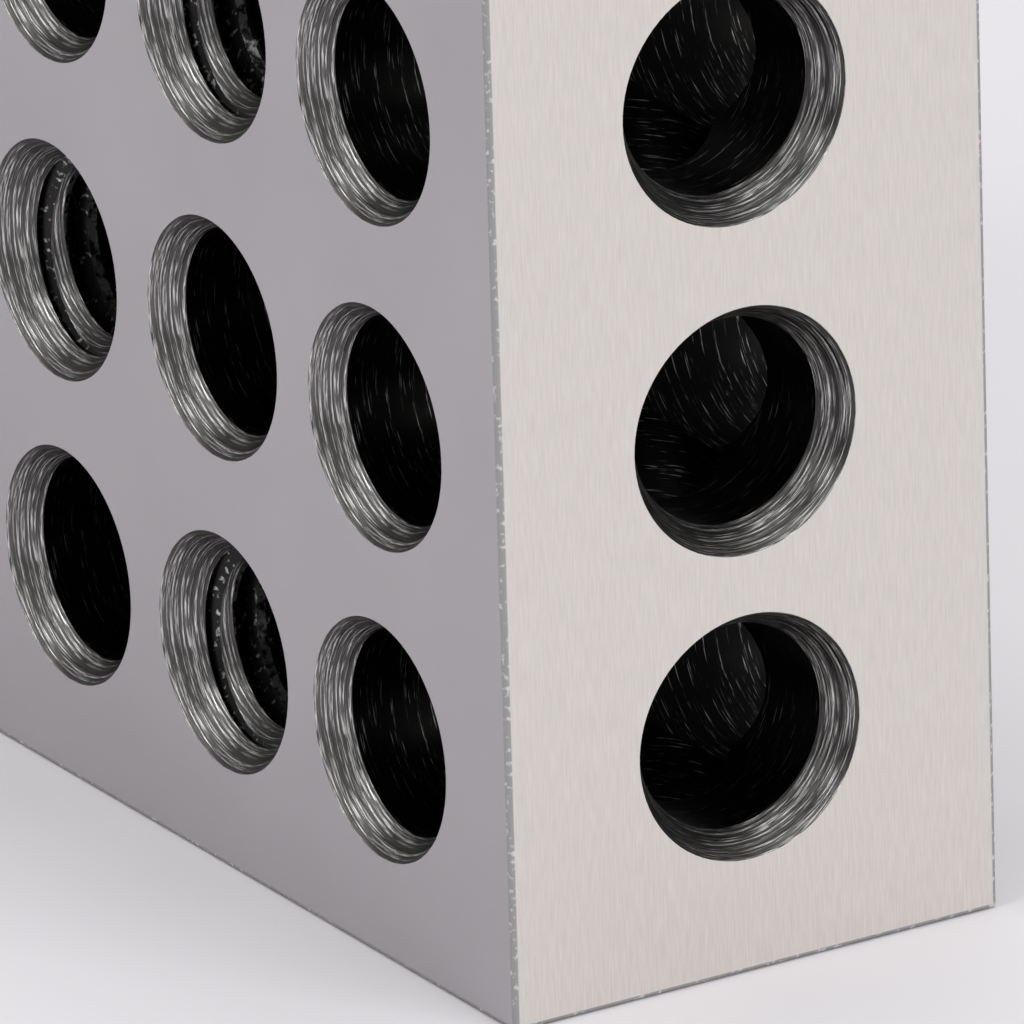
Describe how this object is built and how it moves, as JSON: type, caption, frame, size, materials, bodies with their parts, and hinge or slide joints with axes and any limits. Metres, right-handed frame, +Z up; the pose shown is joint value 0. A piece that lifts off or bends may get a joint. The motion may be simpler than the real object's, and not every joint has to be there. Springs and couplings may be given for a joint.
{
  "type": "setup block",
  "caption": "Ground steel setup block with three unequal sides, bored through along every axis in an even grid, with bevelled hole mouths and some holes tapped.",
  "frame": {"origin": "middle of the bottom face, on which the block stands", "axes": "+X through the thickness, +Y along the length away from the end in sight, +Z up through the height"},
  "size_m": [0.0254, 0.0762, 0.0508],
  "materials": {
    "ground_steel": "satin ground faces, dark machined bores"
  },
  "bodies": {
    "root": {"setup_block": "ground_steel"}
  },
  "joints": []
}
